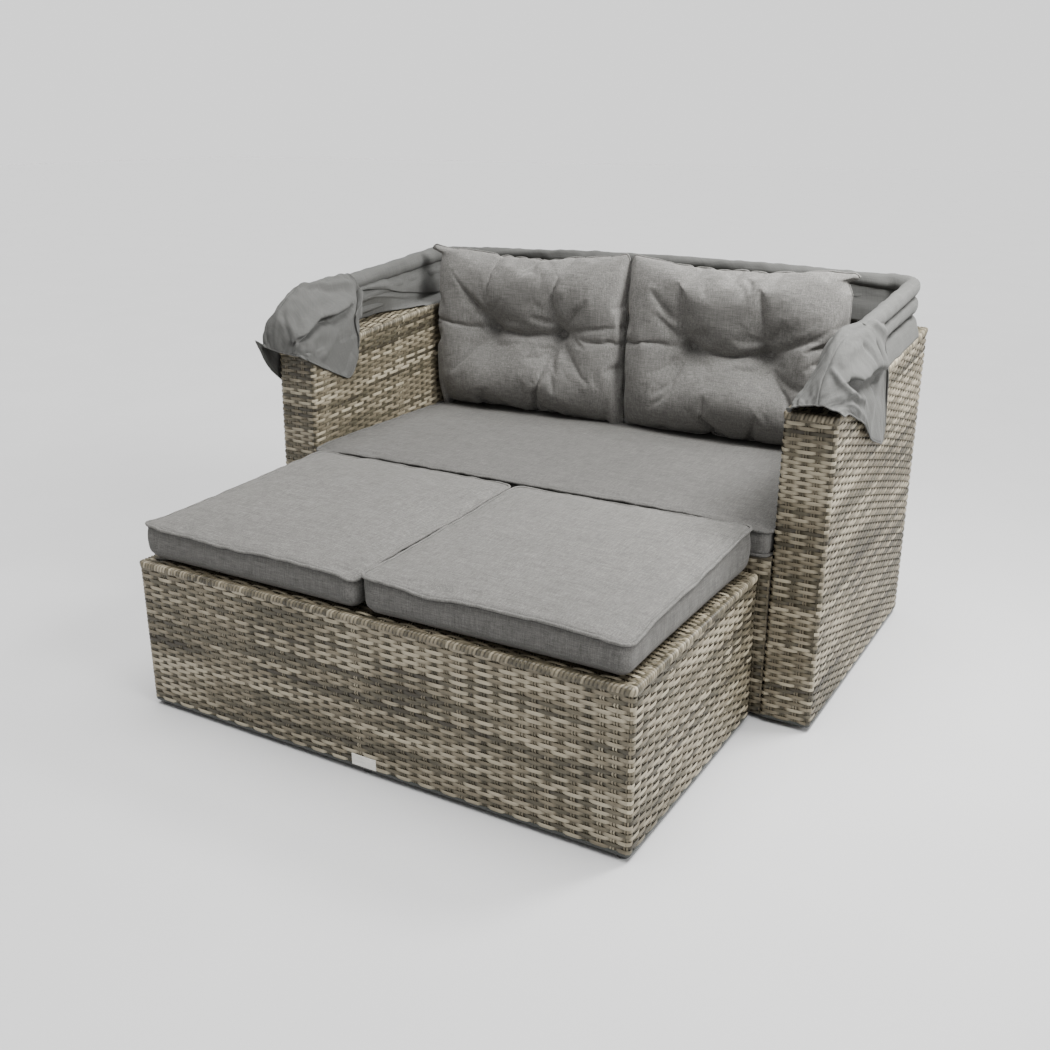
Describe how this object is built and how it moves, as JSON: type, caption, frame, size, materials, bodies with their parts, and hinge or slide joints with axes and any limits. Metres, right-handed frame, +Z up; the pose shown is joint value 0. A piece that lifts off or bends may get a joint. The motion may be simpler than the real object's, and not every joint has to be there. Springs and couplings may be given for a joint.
{
  "type": "outdoor daybed with canopy",
  "caption": "Woven outdoor daybed sofa with loose cushions, a matching ottoman that pushes up to its seat, and a sun canopy on folding bows, shown folded back.",
  "frame": {"origin": "on the floor, under the middle of the whole set's bounding box", "axes": "+X along the seat to the right as seen from the front, +Y from the ottoman to the sofa's back, +Z up"},
  "size_m": [1.516, 1.4258, 0.9461],
  "materials": {
    "weave": "satin woven strips, mixed beige, taupe and olive brown",
    "frame": "dark powder coat",
    "bow": "grey powder coat",
    "steel": "zinc plated",
    "plastic": "moulded",
    "cushion": "warm grey melange cloth",
    "canopy": "light grey melange cloth"
  },
  "bodies": {
    "sofa": {"right_arm_frame": "frame", "left_arm_frame": "frame", "right_arm_weave": "weave", "left_arm_weave": "weave", "back_frame": "frame", "back_weave": "weave", "seat_frame": "frame", "seat_front_weave": "weave", "seat_deck_weave": "weave", "right_seat_bolt_front": "steel", "left_seat_bolt_front": "steel", "right_seat_bolt_rear": "steel", "left_seat_bolt_rear": "steel", "right_back_bolt": "steel", "left_back_bolt": "steel", "right_front_foot": "plastic", "left_front_foot": "plastic", "right_rear_foot": "plastic", "left_rear_foot": "plastic", "right_canopy_bracket": "steel", "left_canopy_bracket": "steel", "right_bracket_screw_front": "steel", "left_bracket_screw_front": "steel", "right_bracket_screw_rear": "steel", "left_bracket_screw_rear": "steel", "right_pivot_bolt": "steel", "left_pivot_bolt": "steel", "rear_bow": "bow", "right_bow_rest": "plastic", "left_bow_rest": "plastic", "canopy_rear_band": "canopy", "right_front_drape": "canopy", "left_front_drape": "canopy", "seat_cushion": "cushion"},
    "middle_bow": {"middle_bow": "bow", "canopy_middle_sleeve": "canopy", "canopy_lower_fold": "canopy"},
    "front_bow": {"front_bow": "bow", "canopy_front_sleeve": "canopy", "canopy_upper_fold": "canopy"},
    "right_knob": {"right_pivot_knob": "plastic"},
    "left_knob": {"left_pivot_knob": "plastic"},
    "ottoman": {"ottoman_frame": "frame", "ottoman_weave": "weave", "right_ottoman_front_foot": "plastic", "left_ottoman_front_foot": "plastic", "right_ottoman_rear_foot": "plastic", "left_ottoman_rear_foot": "plastic", "ottoman_front_middle_foot": "plastic", "ottoman_rear_middle_foot": "plastic", "ottoman_tag": "steel"},
    "right_ottoman_cushion": {"right_ottoman_cushion": "cushion"},
    "left_ottoman_cushion": {"left_ottoman_cushion": "cushion"},
    "right_back_cushion": {"right_back_cushion": "cushion"},
    "left_back_cushion": {"left_back_cushion": "cushion"}
  },
  "joints": [
    {"name": "middle_bow_fold", "type": "hinge", "parent": "sofa", "child": "middle_bow", "pos_m": [0, 0.08567, 0.80983], "axis": [1, 0, 0], "range_deg": [0, 55], "deforming": ["canopy_lower_fold", "right_front_drape", "left_front_drape"]},
    {"name": "front_bow_fold", "type": "hinge", "parent": "middle_bow", "child": "front_bow", "pos_m": [0, 0.08567, 0.80983], "axis": [1, 0, 0], "range_deg": [0, 55], "deforming": ["canopy_upper_fold"]},
    {"name": "right_knob_turn", "type": "hinge", "parent": "sofa", "child": "right_knob", "pos_m": [0.7, 0.08567, 0.80983], "axis": [1, 0, 0], "continuous": true},
    {"name": "left_knob_turn", "type": "hinge", "parent": "sofa", "child": "left_knob", "pos_m": [-0.7, 0.08567, 0.80983], "axis": [-1, 0, 0], "continuous": true},
    {"name": "ottoman_slide", "type": "slide", "parent": "sofa", "child": "ottoman", "axis": [0, -1, 0], "range_m": [0, 0.6]},
    {"name": "right_ottoman_cushion_lift", "type": "slide", "parent": "ottoman", "child": "right_ottoman_cushion", "axis": [0, 0, 1], "range_m": [0, 0.25]},
    {"name": "left_ottoman_cushion_lift", "type": "slide", "parent": "ottoman", "child": "left_ottoman_cushion", "axis": [0, 0, 1], "range_m": [0, 0.25]},
    {"name": "right_back_cushion_lift", "type": "slide", "parent": "sofa", "child": "right_back_cushion", "axis": [0, 0, 1], "range_m": [0, 0.2]},
    {"name": "left_back_cushion_lift", "type": "slide", "parent": "sofa", "child": "left_back_cushion", "axis": [0, 0, 1], "range_m": [0, 0.2]}
  ],
  "couplings": [
    {"joint": "front_bow_fold", "follows": "middle_bow_fold", "ratio": 1}
  ]
}
